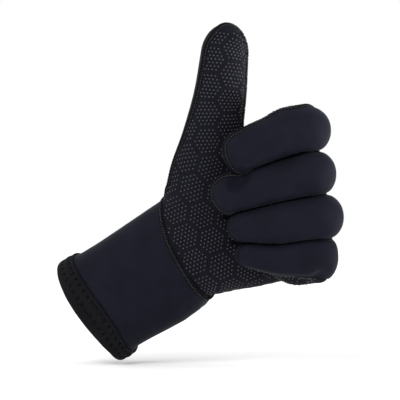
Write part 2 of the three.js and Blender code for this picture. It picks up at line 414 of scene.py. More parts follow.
def build_hand():
    """The field of the palm, the thumb and what joins them."""
    form = np.full(COUNTS, FAR, np.float32)
    box, distance, v, _ = length_field(HAND, TOWARDS_PALM, HAND_POWER, HAND_ROUNDS)
    form[box] = distance
    note_seam(box, distance, v)
    box, distance, v, u = length_field(THUMB, TOWARDS_PALM, FINGER_POWER, THUMB_ROUNDS)
    form[box] = smooth_min(form[box], distance, THUMB_JOIN)
    outer_shift = (THUMB_SHIFT - THUMB_INNER_SHIFT) * smooth_step(u, *THUMB_TURN)
    note_seam(box, distance, v - THUMB_INNER_SHIFT - outer_shift)
    for rows in (INDEX_PALM_BONE, THUMB_WEB):
        rounds = (rows[0][4], rows[1][4])
        box, distance, v, _ = length_field(rows, TOWARDS_PALM, FINGER_POWER, rounds)
        form[box] = smooth_min(form[box], distance, WEB_JOIN)
        note_seam(box, distance, v)
    return form


def add_fold(finger):
    """The little finger's field with the fold of slack that bulges out under it."""
    box, distance, _, _ = length_field(LITTLE_FOLD, TOWARDS_PALM, FINGER_POWER, LITTLE_FOLD_ROUNDS)
    note_seam(box, distance - FOLD_LEAD, np.full_like(distance, FOLD_ON_PALM))
    fold = np.full(COUNTS, FAR, np.float32)
    fold[box] = distance
    return smooth_min(finger, fold, FOLD_JOIN)


def build_finger(name, sizes):
    """The field of a finger: its length from the knuckle, its bent length and its dents."""
    knuckle, joint = sizes["knuckle"], sizes["middle_joint"]
    power, rounds = sizes.get("power", FINGER_POWER), (knuckle[4], joint[4])
    box, distance, v, _ = length_field([knuckle, joint], BACK_TO_WRIST, power, rounds)
    behind = np.maximum(Y[:, box[1]] - BACK_OF_KNUCKLES, 0)
    note_seam(box, distance, v - behind)
    finger = np.full(COUNTS, FAR, np.float32)
    finger[box] = distance
    bent = [joint, *sizes.get("between", []), sizes["end_joint"], sizes["tip"]]
    power, rounds = sizes.get("power", BENT_POWER), (joint[4], sizes["tip_length"])
    box, distance, v, _ = length_field(bent, INTO_FIST, power, rounds)
    start, end, forward = SEAM_BACK[name]
    towards_tip = 1 - smooth_step(X[box[0]], start, end)
    note_seam(box, distance, v + forward + (TIP_SHIFT - forward) * towards_tip)
    finger[box] = smooth_min(finger[box], distance, BEND_JOIN)
    if name == "little":
        finger = add_fold(finger)
    for x, y, z, radius, depth in DENTS[name]:
        spread = ((X - x) ** 2 + (Y - y) ** 2 + (Z - z) ** 2) / radius**2
        finger += depth * np.exp(-spread)
    return finger


def carve_creases(smooth, fingers, pressed):
    """The form with a crease between each two fingers that press on each other."""
    form = smooth
    # Creases run out where the fingers turn back to the knuckles.
    turned = smooth_step(X, *CREASE_END_X) * smooth_step(Y, *CREASE_END_Y)
    depth = CREASE_DEPTH * (1 - CREASE_LOSS * turned)
    for first, second in zip(fingers, fingers[1:]):
        carve = CREASE * pressed - np.abs(first - second) * 0.5
        carve = np.minimum(carve, smooth + depth)
        close = (np.maximum(first, second) < CREASE_REACH) & (pressed > 0)
        form = np.where(close, smooth_max(form, carve, CREASE_ROUNDING), form)
    return form


def build_form():
    """Fields of the outer skin, of the same without creases, of the hand and of each finger."""
    hand = build_hand()
    fingers = [build_finger(name, sizes) for name, sizes in FINGERS.items()]
    # Fingers press on each other in front of the knuckles and run together behind them.
    pressed = 1 - smooth_step(Y, *PRESSED)
    together = fingers[0]
    for finger in fingers[1:]:
        together = smooth_min(together, finger, BESIDE_JOIN[0] + BESIDE_JOIN[1] * (1 - pressed))
    smooth = smooth_min(hand, together, FIST_JOIN[0] + FIST_JOIN[1] * (1 - pressed))
    return carve_creases(smooth, fingers, pressed), smooth, hand, fingers


def wrist_side():
    """A field that is below 0 on the hand's side of the wrist seam."""
    along = X * CUFF_AXIS[0] + Y * CUFF_AXIS[1] + Z * CUFF_AXIS[2]
    across = X * CUFF_ACROSS[0] + Z * CUFF_ACROSS[2]
    palmar = X * CUFF_PALMAR[0] + Y * CUFF_PALMAR[1] + Z * CUFF_PALMAR[2]
    bow = WRIST_BOW * np.clip(across / CUFF_AT_WRIST[0], 0, WRIST_BOW_END) ** 2
    lean = WRIST_LEAN_PALMAR * palmar + WRIST_LEAN_THUMB * across
    return CUFF_LENGTH + bow - lean - along


form, smooth_form, hand_form, finger_forms = build_form()
seam = seam_sum / np.maximum(seam_weight, 1e-9)  # below 0 is the palm panel
wrist = wrist_side()

# Meshes


def make_mesh(name, places, faces):
    """A mesh object from places in millimetres and an array of triangles or quads."""
    faces = np.asarray(faces, np.int32)
    sides = faces.shape[1]
    mesh = bpy.data.meshes.new(name)
    mesh.vertices.add(len(places))
    mesh.vertices.foreach_set("co", (np.asarray(places, np.float32) * MM).ravel())
    mesh.loops.add(faces.size)
    mesh.loops.foreach_set("vertex_index", faces.ravel())
    mesh.polygons.add(len(faces))
    mesh.polygons.foreach_set("loop_start", np.arange(0, faces.size, sides, dtype=np.int32))
    mesh.update(calc_edges=True)
    mesh.validate()
    mesh.shade_smooth()
    made = bpy.data.objects.new(name, mesh)
    bpy.context.collection.objects.link(made)
    return made


def facing_out(places, quads):
    """The quads of a closed mesh, turned over if they face in."""
    a, b, c = (places[quads[:, i]] for i in range(3))
    inwards = dot_rows(np.cross(b - a, c - a), a).sum() < 0
    return quads[:, ::-1] if inwards else quads


def ring_quads(rows, count, spans):
    """Quads between neighbouring rows of a grid whose rows are rings of count places."""
    row, column = np.meshgrid(np.arange(spans), np.arange(count), indexing="ij")
    next_row, next_column = (row + 1) % rows, (column + 1) % count
    corners = [(row, column), (row, next_column), (next_row, next_column), (next_row, column)]
    return np.stack([(r * count + c).ravel() for r, c in corners], 1)


def edges_of(quads):
    """The four edges of each quad, as pairs of corners."""
    return np.stack([quads, np.roll(quads, -1, 1)], 2).reshape(-1, 2)


def join_parts(parts):
    """One list of places and one of triangles from several."""
    places, faces, start = [], [], 0
    for part_places, part_faces in parts:
        places.append(part_places)
        faces.append(part_faces + start)
        start += len(part_places)
    return np.vstack(places), np.vstack(faces)


def mesh_of_field(field):
    """Places in millimetres and quads of the field's zero surface, faces pointing out."""
    grid = openvdb.FloatGrid(FAR)
    grid.copyFromArray(np.ascontiguousarray(field.astype(np.float32)))
    places, _, quads = grid.convertToPolygons(isovalue=0.0, adaptivity=0.0)
    places = places * STEP + LOW
    return places, facing_out(places, quads)


def eased(places, quads, rounds=2):
    """The places, each moved half way to the middle of its neighbours."""
    ends = edges_of(quads)
    ends = np.vstack([ends, ends[:, ::-1]])
    count = np.bincount(ends[:, 0], minlength=len(places))
    for _ in range(rounds):
        columns = [np.bincount(ends[:, 0], places[ends[:, 1], k], len(places)) for k in range(3)]
        places = (places + np.stack(columns, 1) / np.maximum(count, 1)[:, None]) / 2
    return places


def sample(field, places):
    """The field's value at each place, mixed between the eight nearest."""
    at = (places - LOW) / STEP
    base = np.clip(np.floor(at).astype(int), 0, COUNTS - 2)
    shares = np.clip(at - base, 0, 1).T
    total = 0
    for corner in np.ndindex(2, 2, 2):
        value = field[tuple((base + corner).T)]
        for share, upper in zip(shares, corner):
            value = value * (share if upper else 1 - share)
        total = total + value
    return total


def slope(field, places):
    """The field's gradient at each place."""
    steps = STEP * np.eye(3)
    rises = [sample(field, places + step) - sample(field, places - step) for step in steps]
    return np.stack(rises, 1) / (2 * STEP)


def normals_at(places, field=form):
    return unit_rows(slope(field, places), 1e-6)


LEAST_STEEP = 0.04  # least square of the slope that a step counts with


def on_skin(places, rounds=3, field=form):
    """The places moved onto the outer skin, or onto another field's."""
    for _ in range(rounds):
        out = slope(field, places)
        steep = np.maximum(dot_rows(out, out), LEAST_STEEP)
        places = places - out * (sample(field, places) / steep)[:, None]
    return places


PANEL_EDGE = 1.3  # rounding where a panel is cut
INNER_EDGE = 0.6  # rounding of the inner skin


def build_panels():
    """The palm and back panels, each a closed shell."""
    walls = smooth_max(form, -(smooth_form + WALL), INNER_EDGE)
    walls = smooth_max(walls, wrist, PANEL_EDGE)
    for name, side in (("palm_panel_skin", 1), ("back_panel_skin", -1)):
        places, quads = mesh_of_field(smooth_max(walls, side * seam + GAP / 2, PANEL_EDGE))
        yield make_mesh(name, eased(places, quads), quads)


# The cuff

CUFF_SIDES = 440
FINE_SIDES = 4001  # for measuring round the cuff
SLEEVE_ROUNDING = 0.9


def signed_power(value, power):
    return np.sign(value) * np.abs(value) ** (2 / power)


def cuff_places(distance, angle, outset, leaning=0.0):
    """Places on the cuff at distances from the opening, in millimetres.

    Leaning is 1 where the distance follows the wrist seam and 0 where it follows the opening.
    """
    share = distance / CUFF_LENGTH
    sideways = signed_power(np.cos(angle), HAND_POWER)
    at, on_thumb_side, on_little_side = np.transpose(CUFF_FIT)
    fit = np.interp(distance, at, on_thumb_side) * (1 + sideways) / 2
    fit += np.interp(distance, at, on_little_side) * (1 - sideways) / 2
    across = CUFF_AT_OPENING[0] * (1 - share) + CUFF_AT_WRIST[0] * share + outset
    through = CUFF_AT_OPENING[1] * (1 - share) + CUFF_AT_WRIST[1] * share + outset
    u = sideways * (across + fit)
    v = signed_power(np.sin(angle), HAND_POWER) * through
    rim = np.interp(sideways, *np.transpose(RIM_OUT)) * np.maximum(0, 1 - distance / HEM_WIDTH)
    lip = np.interp(sideways, *np.transpose(LIP_IN))
    lip = lip * np.interp(distance, (0, HEM_WIDTH, CUFF_LENGTH), (0, 1, 0))
    wrist_bow = WRIST_BOW * np.maximum(sideways, 0) ** 2
    lean = WRIST_LEAN_PALMAR * v + WRIST_LEAN_THUMB * u - wrist_bow
    along = distance - rim + lip - leaning * lean
    parts = (along, CUFF_AXIS), (u, CUFF_ACROSS), (v, CUFF_PALMAR)
    return sum(length[..., None] * direction for length, direction in parts)


def even_angles():
    """Angles round the cuff that are evenly spaced along its outline."""
    fine = np.linspace(0, 2 * np.pi, FINE_SIDES)
    length = lengths_along(cuff_places(0.0, fine, 0.0))
    return np.interp(np.linspace(0, length[-1], CUFF_SIDES, endpoint=False), length, fine)


ANGLES = even_angles()


def tube_wall(name, distance, outset, leaning=0.0):
    """A closed ring whose profile is a loop of distances and outsets, both a column or a grid."""
    rows = len(distance)
    places = cuff_places(distance, ANGLES[None], outset, leaning).reshape(-1, 3)
    return make_mesh(name, places, facing_out(places, ring_quads(rows, CUFF_SIDES, rows)))


def rounded_profile(corners, rounding, per_corner=6, spacing=0.8):
    """A loop of (distance, outset) through the corners, with each corner rounded."""
    corners = np.asarray(corners, float)
    loop = []
    count = len(corners)
    for i in range(count):
        before, corner, after = corners[i - 1], corners[i], corners[(i + 1) % count]
        start = corner + unit(before - corner) * rounding[i]
        end = corner + unit(after - corner) * rounding[i]
        t = np.linspace(0, 1, per_corner)[:, None]
        loop.append((1 - t) ** 2 * start + 2 * t * (1 - t) * corner + t**2 * end)
        next_start = after + unit(corner - after) * rounding[(i + 1) % count]
        steps = max(int(np.linalg.norm(next_start - end) / spacing), 1)
        run = np.linspace(0, 1, steps + 1)[1:-1, None]
        loop.append(end * (1 - run) + next_start * run)
    return np.vstack(loop)


def build_sleeve():
    start, end = HEM_WIDTH + GAP, CUFF_LENGTH - GAP
    corners = [(start, 0), (end, 0), (end, -WALL), (start, -WALL)]
    profile = rounded_profile(corners, [SLEEVE_ROUNDING] * 4)
    distance, outset = profile[:, :1], profile[:, 1:]
    return tube_wall("cuff_sleeve_skin", distance, outset, (distance - start) / (end - start))


# The hem

HEM_ROLL = 2.6  # rounding at the opening's edge
HEM_ROUNDING = (HEM_ROLL, 0.7, 1.0, HEM_ROLL)
HEM_ROWS = (4.8, 8.5)  # the two rows of stitches, as distances from the opening
STITCH_PITCH = 4.3
ROW_SHIFT = 0.5  # between the rows' stitches, in stitches
GROOVE_DEPTH, GROOVE_WIDTH = 0.28, 1.1  # what a row of stitches lies in
SWELL_HEIGHT, SWELL_WIDTH = 0.22, 1.1  # between the rows
LIP_PLACE, LIP_HEIGHT, LIP_WIDTH = 10.4, 0.3, 0.45  # the raised edge where the folded band ends
LIP_VALLEY, VALLEY_DEPTH = 1.0, 0.2  # distance from the lip to the valley before it
DIMPLE_DEPTH = 1.7
DIMPLE_LENGTH, DIMPLE_WIDTH = 0.8, 0.75
DIMPLE_TURN = 0.2  # angle past which a dimple is too shallow to count
CUFF_RADIUS = 30.0  # makes an angle a length
OUTER_FACE = 0.9  # how deep the profile counts as outer


def stitch_angles(distance, shift=0.0):
    """Angles of the stitches in a row round the band, evenly spaced along it."""
    full = np.append(ANGLES, ANGLES[0] + 2 * np.pi)
    length = lengths_along(cuff_places(distance, full, HEM_PROUD))
    count = round(length[-1] / STITCH_PITCH)
    at = (np.arange(count) + shift) / count * length[-1]
    return np.interp(at, length, full)


def hump(off, width):
    return np.exp(-((off / width) ** 2))


def hem_outset(distance, angle):
    """How far the hem's outer face stands out: dimpled stitch rows and a raised lip."""
    outset = np.full(distance.shape, HEM_PROUD)
    outset += LIP_HEIGHT * hump(distance - LIP_PLACE, LIP_WIDTH)
    outset -= VALLEY_DEPTH * hump(distance - LIP_PLACE + LIP_VALLEY, LIP_WIDTH)
    for k, row in enumerate(HEM_ROWS):
        outset -= GROOVE_DEPTH * hump(distance - row, GROOVE_WIDTH)
        for middle in stitch_angles(row, ROW_SHIFT * k):
            turn = np.abs((angle - middle + np.pi) % (2 * np.pi) - np.pi)
            near = turn < DIMPLE_TURN
            along = (turn[near] * CUFF_RADIUS) / DIMPLE_LENGTH
            across = (distance[near] - row) / DIMPLE_WIDTH
            outset[near] -= DIMPLE_DEPTH * np.exp(-(along**2 + across**2))
    middle = (HEM_ROWS[0] + HEM_ROWS[1]) / 2
    return outset + SWELL_HEIGHT * hump(distance - middle, SWELL_WIDTH)


def build_hem():
    inner = HEM_PROUD - HEM_WALL
    corners = [(0, HEM_PROUD), (HEM_WIDTH, HEM_PROUD), (HEM_WIDTH, inner), (0, inner)]
    profile = rounded_profile(corners, HEM_ROUNDING, per_corner=9, spacing=0.36)
    distance, outset = (np.repeat(profile[:, k : k + 1], CUFF_SIDES, 1) for k in (0, 1))
    outer = outset > HEM_PROUD - OUTER_FACE
    outset[outer] += (hem_outset(distance, ANGLES[None] + 0 * distance) - HEM_PROUD)[outer]
    return tube_wall("cuff_hem_band", distance, outset)


# The seams' lines

SEAM_SPACING = 0.6
SEAM_SMOOTHING = 14
NEAR_SKIN = 0.6
WRIST_CUT = 0.5  # how far short of the wrist seam the panels' seam stops
WRIST_CUT_ROUNDING = 0.3
FRAME_SMOOTHING = 6


def crossing_lines(places, quads, values, keep):
    """Lines through a mesh's quads where the values change sign, each as an array of places."""
    edges = np.sort(edges_of(quads), 1)
    codes = edges[:, 0].astype(np.int64) * len(places) + edges[:, 1]
    _, first, back = np.unique(codes, return_index=True, return_inverse=True)
    a, b = edges[first].T
    va, vb = values[a], values[b]
    crossing = ((va < 0) != (vb < 0)) & keep[a] & keep[b]
    share = np.where(crossing, va / np.where(va == vb, 1, va - vb), 0)[:, None]
    points = places[a] * (1 - share) + places[b] * share
    back = back.reshape(-1, 4)
    hit = crossing[back]
    two = hit.sum(1) == 2
    pairs = back[two][hit[two]].reshape(-1, 2)
    beside = {}
    for one, other in pairs.tolist():
        beside.setdefault(one, []).append(other)
        beside.setdefault(other, []).append(one)
    lines, used = [], set()
    for start in [k for k, v in beside.items() if len(v) == 1] + list(beside):
        if start in used:
            continue
        line, onwards = [], [start]
        while onwards:
            line.append(onwards[0])
            used.add(onwards[0])
            onwards = [k for k in beside[line[-1]] if k not in used]
        lines.append(points[line])
    return lines


def panel_seam():
    """The line on the outer skin where the palm and back panels meet, from wrist to wrist."""
    places, quads = mesh_of_field(smooth_max(form, wrist, WRIST_CUT_ROUNDING))
    outer = (np.abs(sample(form, places)) < NEAR_SKIN) & (sample(wrist, places) < -WRIST_CUT)
    lines = crossing_lines(places, quads, sample(seam, places), outer)
    return on_skin(even_line(max(lines, key=len), SEAM_SPACING, SEAM_SMOOTHING))


def square_frame(line, out):
    """The outward directions made square to a line, and the sideways ones."""
    forwards = directions(line)
    out = unit_rows(square_to(out, forwards))
    return out, np.cross(forwards, out)


def cuff_frame(distance, angle, outset, leaning=0.0):
    """A line on the cuff with its outward and sideways directions."""
    line = cuff_places(distance, angle, outset, leaning)
    return line, *square_frame(line, cuff_places(distance, angle, outset + 1, leaning) - line)


# Ridges and threads

# Half width and height of an overlocked edge
PANEL_RIDGE = (1.25, 0.85)
WRIST_RIDGE = (1.05, 0.8)
CUFF_RIDGE = (1.0, 0.5)
RIDGE_SIDES = 9
RIDGE_SUNK = 0.9  # how deep the ridge's foot lies under the line
RIDGE_FOOT = 0.9  # half width of the foot, as a share of the ridge's
RIDGE_LOW = 0.1  # how much lower the ridge lies than its loops
LOOP_PITCH = 1.8
LOOP_RADIUS = 0.27
LOOP_POINTS = 7
LOOP_ENDS = (0.06, 0.94)  # shares of the half turn over the ridge
LOOP_STRANDS = ((0.12, 1.12), (-0.62, 1.06))  # slant in pitches, reach in half widths
LOOP_LIFT = 0.7  # how far a loop lies above the ridge, in radii
LOOP_UNEVEN = 0.12
CHAIN_PITCH = 1.55
CHAIN_RADIUS = LOOP_RADIUS * 1.15
CHAIN_POINTS = 5
CHAIN_STITCH = 0.5  # share of the pitch that a stitch covers
CHAIN_SWAY = 0.55  # how far sideways a stitch slants
CHAIN_LOW = 0.12  # how high a stitch's ends lie
CHAIN_ARCH = 0.28
CHAIN_CLEAR = 0.1  # from a ridge to the chain beside it
TOP_ROW_SUNK = 0.05
SEED = 7

rng = np.random.default_rng(SEED)


def tubes(paths, radius, sides=5):
    """Places and triangles of many round threads. paths is threads by points by 3."""
    paths = np.asarray(paths, float)
    threads, points = paths.shape[:2]
    forwards = directions(paths)
    side = some_square(forwards)
    ring = circles(side, np.cross(side, forwards), sides)
    places = (paths[:, :, None] + ring * radius).reshape(-1, 3)
    thread, point, turn = np.meshgrid(
        np.arange(threads), np.arange(points - 1), np.arange(sides), indexing="ij"
    )
    base = (thread * points + point) * sides
    a, b = base + turn, base + (turn + 1) % sides
    walls = [(a, b, b + sides), (a, b + sides, a + sides)]
    faces = [np.stack([v.ravel() for v in wall], 1) for wall in walls]
    ends = np.arange(threads) * points * sides
    for i in range(1, sides - 1):
        faces.append(np.stack([ends, ends + i + 1, ends + i], 1))
        last = ends + (points - 1) * sides
        faces.append(np.stack([last, last + i, last + i + 1], 1))
    return places, np.vstack(faces)


def ridge_parts(line, out, side, ridge):
    """Places and triangles of a rounded ridge along a line, with flat ends."""
    half, height = ridge
    turn = np.linspace(0, np.pi, RIDGE_SIDES)
    top = np.stack([np.cos(turn) * half, np.sin(turn) * height], 1)
    feet = [(-half * RIDGE_FOOT, -RIDGE_SUNK), (half * RIDGE_FOOT, -RIDGE_SUNK)]
    profile = np.vstack([top, feet])[::-1]
    count, rows = len(profile), len(line)
    across = profile[None, :, 0, None] * side[:, None]
    up = profile[None, :, 1, None] * out[:, None]
    places = (line[:, None] + across + up).reshape(-1, 3)
    quads = ring_quads(rows, count, rows - 1)
    cap = np.asarray([(0, i, i + 1) for i in range(1, count - 1)])
    ends = [cap[:, ::-1], cap + (rows - 1) * count]
    return places, np.vstack([quads[:, [0, 1, 2]], quads[:, [0, 2, 3]], *ends])


def overlock_loops(line, out, side, ridge):
    """Threads that cross a ridge: a straight stitch across and a slanting one back."""
    half, height = ridge
    total = line_length(line)
    starts = np.arange(LOOP_PITCH, total - 2 * LOOP_PITCH, LOOP_PITCH)
    starts = starts + rng.uniform(-LOOP_UNEVEN, LOOP_UNEVEN, len(starts)) * LOOP_PITCH
    turn = np.linspace(*LOOP_ENDS, LOOP_POINTS) * np.pi
    paths = []
    for slant, reach in LOOP_STRANDS:
        run = (turn / np.pi - 0.5) * slant * 2 * LOOP_PITCH
        at = starts[:, None] + run + slant * LOOP_PITCH * 0.5
        place, up, across = at_lengths(np.clip(at, 0, total), line, out, side)
        width = np.cos(turn) * half * reach
        lift = height * np.sin(turn) + LOOP_RADIUS * LOOP_LIFT
        paths.append(place + across * width[None, :, None] + up * lift[None, :, None])
    return tubes(np.concatenate(paths), LOOP_RADIUS)


def edge_chain(line, out, side, offset):
    """A chain of short slanting stitches along a line, or beside it at an offset."""
    total = line_length(line)
    starts = np.arange(CHAIN_PITCH, total - 2 * CHAIN_PITCH, CHAIN_PITCH)
    turn = np.linspace(0, 1, CHAIN_POINTS)
    at = starts[:, None] + turn * CHAIN_PITCH * CHAIN_STITCH
    place, up, across = at_lengths(at, line, out, side)
    sway = (turn - 0.5) * CHAIN_SWAY * np.where(np.arange(len(starts)) % 2, 1, -1)[:, None]
    lift = CHAIN_LOW + CHAIN_ARCH * np.sin(turn * np.pi)
    path = place + across * (offset + sway)[..., None] + up * lift[None, :, None]
    return tubes(path, CHAIN_RADIUS)


# Threads of the hem: how deep their ends are sunk, how high they arch, and radius
NEEDLE_THREAD = (0.75, 0.6, 0.17)
LOOPER_THREAD = (0.5, 0.45, 0.12)
NEEDLE_RUN = (0.2, 0.6)  # start and length, in stitches
LOOPER_RUNS = ((0.0, 0.5), (0.5, 0.5), (0.25, -0.5), (0.75, -0.5))
RISE = np.linspace(0, 1, 7)  # shares of a thread's run


def arched_threads(distance, angle, thread):
    sunk, arch, radius = thread
    lift = HEM_PROUD - sunk + arch * np.sin(np.pi * RISE)
    return tubes(cuff_places(distance, angle, lift), radius)


def hem_threads():
    """Needle stitches in two rows and the looper threads that zigzag between them."""
    parts = []
    for k, row in enumerate(HEM_ROWS):
        starts = stitch_angles(row, ROW_SHIFT * k)
        turn = 2 * np.pi / len(starts)
        angle = starts[:, None] + turn * (NEEDLE_RUN[0] + NEEDLE_RUN[1] * RISE)
        parts.append(arched_threads(row, angle, NEEDLE_THREAD))
    first = stitch_angles(HEM_ROWS[0])
    turn = 2 * np.pi / len(first)
    distance = HEM_ROWS[0] + (HEM_ROWS[1] - HEM_ROWS[0]) * RISE
    for start, run in LOOPER_RUNS:
        angle = first[:, None] + turn * (start + run * RISE)
        parts.append(arched_threads(distance, angle, LOOPER_THREAD))
    return join_parts(parts)


# Grip print: raised dots in hexagon cells

DOT_ROW = 2.03
DOT_PITCH = 2.28
DOT_RADIUS = 0.43
DOT_HEIGHT = 0.3
DOT_SUNK = 0.18
DOT_SIDES = 8
DOT_SHOULDERS = ((0.94, 0.45), (0.6, 0.88))  # shares of the radius and of the height
CELL_PITCH = 15.6
COLUMN_PITCH = 13.5
CELL_HALF = 3  # rows on each side of a cell's middle row
PRINT_EDGE = 1.7  # bare strip beside the seam
PRINT_WRIST_EDGE = 0.6  # added to it at the wrist seam
CREASE_CLEAR = 0.12  # a dot further than this from the skin lies over a crease

# The print's middle column, as x and z, from the thumb's tip over the ball of the thumb to the
# palm's outer edge. Its cells are counted from the place at the height PRINT_START.
PRINT_SPINE = [
    (73.4, 161), (71, 151), (69.4, 136.7), (67.7, 121.3), (67.7, 105.9), (68.3, 90.5),
    (71.7, 75.7), (77.4, 60.3), (83.1, 45.5), (88.8, 30.7), (95.6, 16),
]
PRINT_START = 129.0
PRINT_REACH = 62  # how far the print runs from its middle column on each side
SPINE_POINTS = 10
FINGER_PRINT_START = 10  # of a cell's middle, from the middle joint
FINGER_PRINT_REACH = 17
FINGER_SPINE_POINTS = 12
SHEET_STEP = 0.75  # spacing of the places that the print is laid on
SHEET_SMOOTHING = 3
SHEET_OVER_SEAM = 0.8


def front_of(field, x, z, start=2.0, rounds=90, share=0.7, least=-1, most=3):
    """The places on a field's palm side at x and z, found by steps from the field's front."""
    y = np.full(len(x), LOW[1] + start)
    for _ in range(rounds):
        gap = sample(field, np.stack([x, y, z], 1))
        y = y + np.clip(gap * share, least, most)
    return np.stack([x, y, z], 1)


def spread_over(field, spine, reach):
    """Places on the skin in lines square to the spine, and which of them are on the palm."""
    steps = int(reach / SHEET_STEP)
    sheet = np.empty((2 * steps + 1, len(spine), 3))
    sheet[steps] = spine
    on_palm = np.ones(sheet.shape[:2], bool)
    for way in (-1, 1):
        place = spine
        still = np.ones(len(spine), bool)
        heading = np.cross(directions(spine), normals_at(place, field)) * way
        for i in range(1, steps + 1):
            place = on_skin(place + heading * SHEET_STEP, 2, field)
            heading = smooth_rows(heading, SHEET_SMOOTHING)
            heading = unit_rows(square_to(heading, normals_at(place, field)), 1e-6)
            still = still & (sample(seam, place) < SHEET_OVER_SEAM)
            sheet[steps + way * i] = place
            on_palm[steps + way * i] = still
    return sheet, on_palm


def cell_dots(along_low, along_high, reach):
    """Every dot of the print, as its distance along the spine and its distance beside it."""
    laid = []
    columns = int(reach / COLUMN_PITCH) + 2
    for column in range(-columns, columns + 1):
        shift = CELL_PITCH / 2 if column % 2 else 0
        first = int((along_low - shift) / CELL_PITCH) - 2
        for cell in range(first, int(along_high / CELL_PITCH) + 3):
            middle = cell * CELL_PITCH + shift
            for row in range(-CELL_HALF, CELL_HALF + 1):
                count = 2 * CELL_HALF + 1 - abs(row)
                beside = column * COLUMN_PITCH + (np.arange(count) - (count - 1) / 2) * DOT_PITCH
                laid += [(middle + row * DOT_ROW, b) for b in beside]
    return np.asarray(laid)


def print_dots(field, spine, start, reach):
    """Places and outward directions of the print's dots on a field's skin."""
    spine = even_line(spine, SHEET_STEP)
    sheet, on_palm = spread_over(field, spine, reach)
    middle = len(sheet) // 2
    total = line_length(spine)
    along, beside = cell_dots(-start, total - start, reach).T
    row = (along + start) / total * (len(spine) - 1)
    column = beside / SHEET_STEP + middle
    inside = (row > 0) & (row < len(spine) - 1.01) & (column > 0) & (column < 2 * middle - 0.01)
    row, column = row[inside], column[inside]
    i, j = row.astype(int), column.astype(int)
    kept = on_palm[j, i] & on_palm[j + 1, i] & on_palm[j, i + 1] & on_palm[j + 1, i + 1]
    row, column, i, j = row[kept], column[kept], i[kept], j[kept]
    fi, fj = (row - i)[:, None], (column - j)[:, None]
    near = sheet[j, i] * (1 - fi) + sheet[j, i + 1] * fi
    far = sheet[j + 1, i] * (1 - fi) + sheet[j + 1, i + 1] * fi
    places = on_skin(near * (1 - fj) + far * fj, 2, field)
    return places, normals_at(places, field)


def shown_dots(places):
    """Which dots lie on the palm panel, clear of its seams and of the creases."""
    clear = np.abs(sample(form, places)) < CREASE_CLEAR
    clear &= sample(seam, places) < -PRINT_EDGE
    return clear & (sample(wrist, places) < -PRINT_EDGE - PRINT_WRIST_EDGE)


def dome_parts(places, out):
    """Places and triangles of round-topped dots that stand on the skin."""
    side = some_square(out)
    ring = circles(side, np.cross(out, side), DOT_SIDES)
    rings = [(1.0, -DOT_SUNK)] + [(share, DOT_HEIGHT * rise) for share, rise in DOT_SHOULDERS]
    levels = [places[:, None] + ring * DOT_RADIUS * r + out[:, None] * h for r, h in rings]
    tops = (places + out * DOT_HEIGHT)[:, None]
    made = np.concatenate(levels + [tops], 1)
    count = made.shape[1]
    faces = []
    for i in range(DOT_SIDES):
        n = (i + 1) % DOT_SIDES
        for level in range(len(rings) - 1):
            a, b = level * DOT_SIDES + i, level * DOT_SIDES + n
            faces += [(a, b, b + DOT_SIDES), (a, b + DOT_SIDES, a + DOT_SIDES)]
        last = (len(rings) - 1) * DOT_SIDES
        faces.append((last + i, last + n, count - 1))
    faces += [(0, i + 1, i) for i in range(1, DOT_SIDES - 1)]
    base = np.arange(len(places))[:, None, None] * count
    return made.reshape(-1, 3), (base + np.asarray(faces)[None]).reshape(-1, 3)


def build_dots():
    """The print on the hand and the thumb, and on each finger's inner side."""
    spine = even_line(spline([(x, 0, z) for x, z in PRINT_SPINE], SPINE_POINTS), SHEET_STEP)
    spine = front_of(hand_form, spine[:, 0], spine[:, 2])
    start = line_length(spine[spine[:, 2] > PRINT_START])
    sets = [print_dots(hand_form, spine, start, PRINT_REACH)]
    for sizes, field in zip(FINGERS.values(), finger_forms):
        joints = [sizes[part] for part in ("middle_joint", "end_joint", "tip")]
        rows = spline(joints, FINGER_SPINE_POINTS)
        inner = on_skin(rows[:, :3] + np.array(INTO_FIST) * rows[:, 4:5], 4, field)
        sets.append(print_dots(field, inner, FINGER_PRINT_START, FINGER_PRINT_REACH))
    places, out = (np.vstack(part) for part in zip(*sets))
    shown = shown_dots(places)
    return dome_parts(places[shown], out[shown])


# Materials

MOTTLE = {"Scale": 90.0, "Detail": 6.0}
MOTTLE_STOPS = ((0.3, 0.8), (0.75, 1.25))  # place on the noise, and brightness
KNIT = {"Scale": 1700.0, "Detail": 2.0}
KNIT_HEIGHT = 0.0003
SHEEN_TINT = (0.75, 0.85, 1.0, 1.0)


def set_inputs(node, values):
    for name, value in values.items():
        node.inputs[name].default_value = value


def new_material(name):
    material = bpy.data.materials.new(name)
    material.use_nodes = True
    return material, material.node_tree.nodes["Principled BSDF"]


def fabric(name, colour, roughness, sheen, knit=0.45):
    """Neoprene's knit face: a fine grain and a slight mottling."""
    material, shader = new_material(name)
    nodes, link = material.node_tree.nodes, material.node_tree.links.new
    set_inputs(shader, {"Roughness": roughness, "Specular IOR Level": 0.07})
    set_inputs(shader, {"Sheen Weight": sheen, "Sheen Roughness": 0.45, "Sheen Tint": SHEEN_TINT})
    coordinates = nodes.new("ShaderNodeTexCoord")

    def add_noise(settings):
        noise = nodes.new("ShaderNodeTexNoise")
        set_inputs(noise, settings)
        link(coordinates.outputs["Object"], noise.inputs["Vector"])
        return noise.outputs["Fac"]

    mottle = add_noise(MOTTLE)
    ramp = nodes.new("ShaderNodeValToRGB")
    for stop, (position, shade) in zip(ramp.color_ramp.elements, MOTTLE_STOPS):
        stop.position = position
        stop.color = (*[c * shade for c in colour], 1)
    link(mottle, ramp.inputs["Fac"])
    link(ramp.outputs["Color"], shader.inputs["Base Color"])
    weave = add_noise(KNIT)
    bump = nodes.new("ShaderNodeBump")
    set_inputs(bump, {"Strength": knit, "Distance": KNIT_HEIGHT})
    link(weave, bump.inputs["Height"])
    link(bump.outputs["Normal"], shader.inputs["Normal"])
    return material


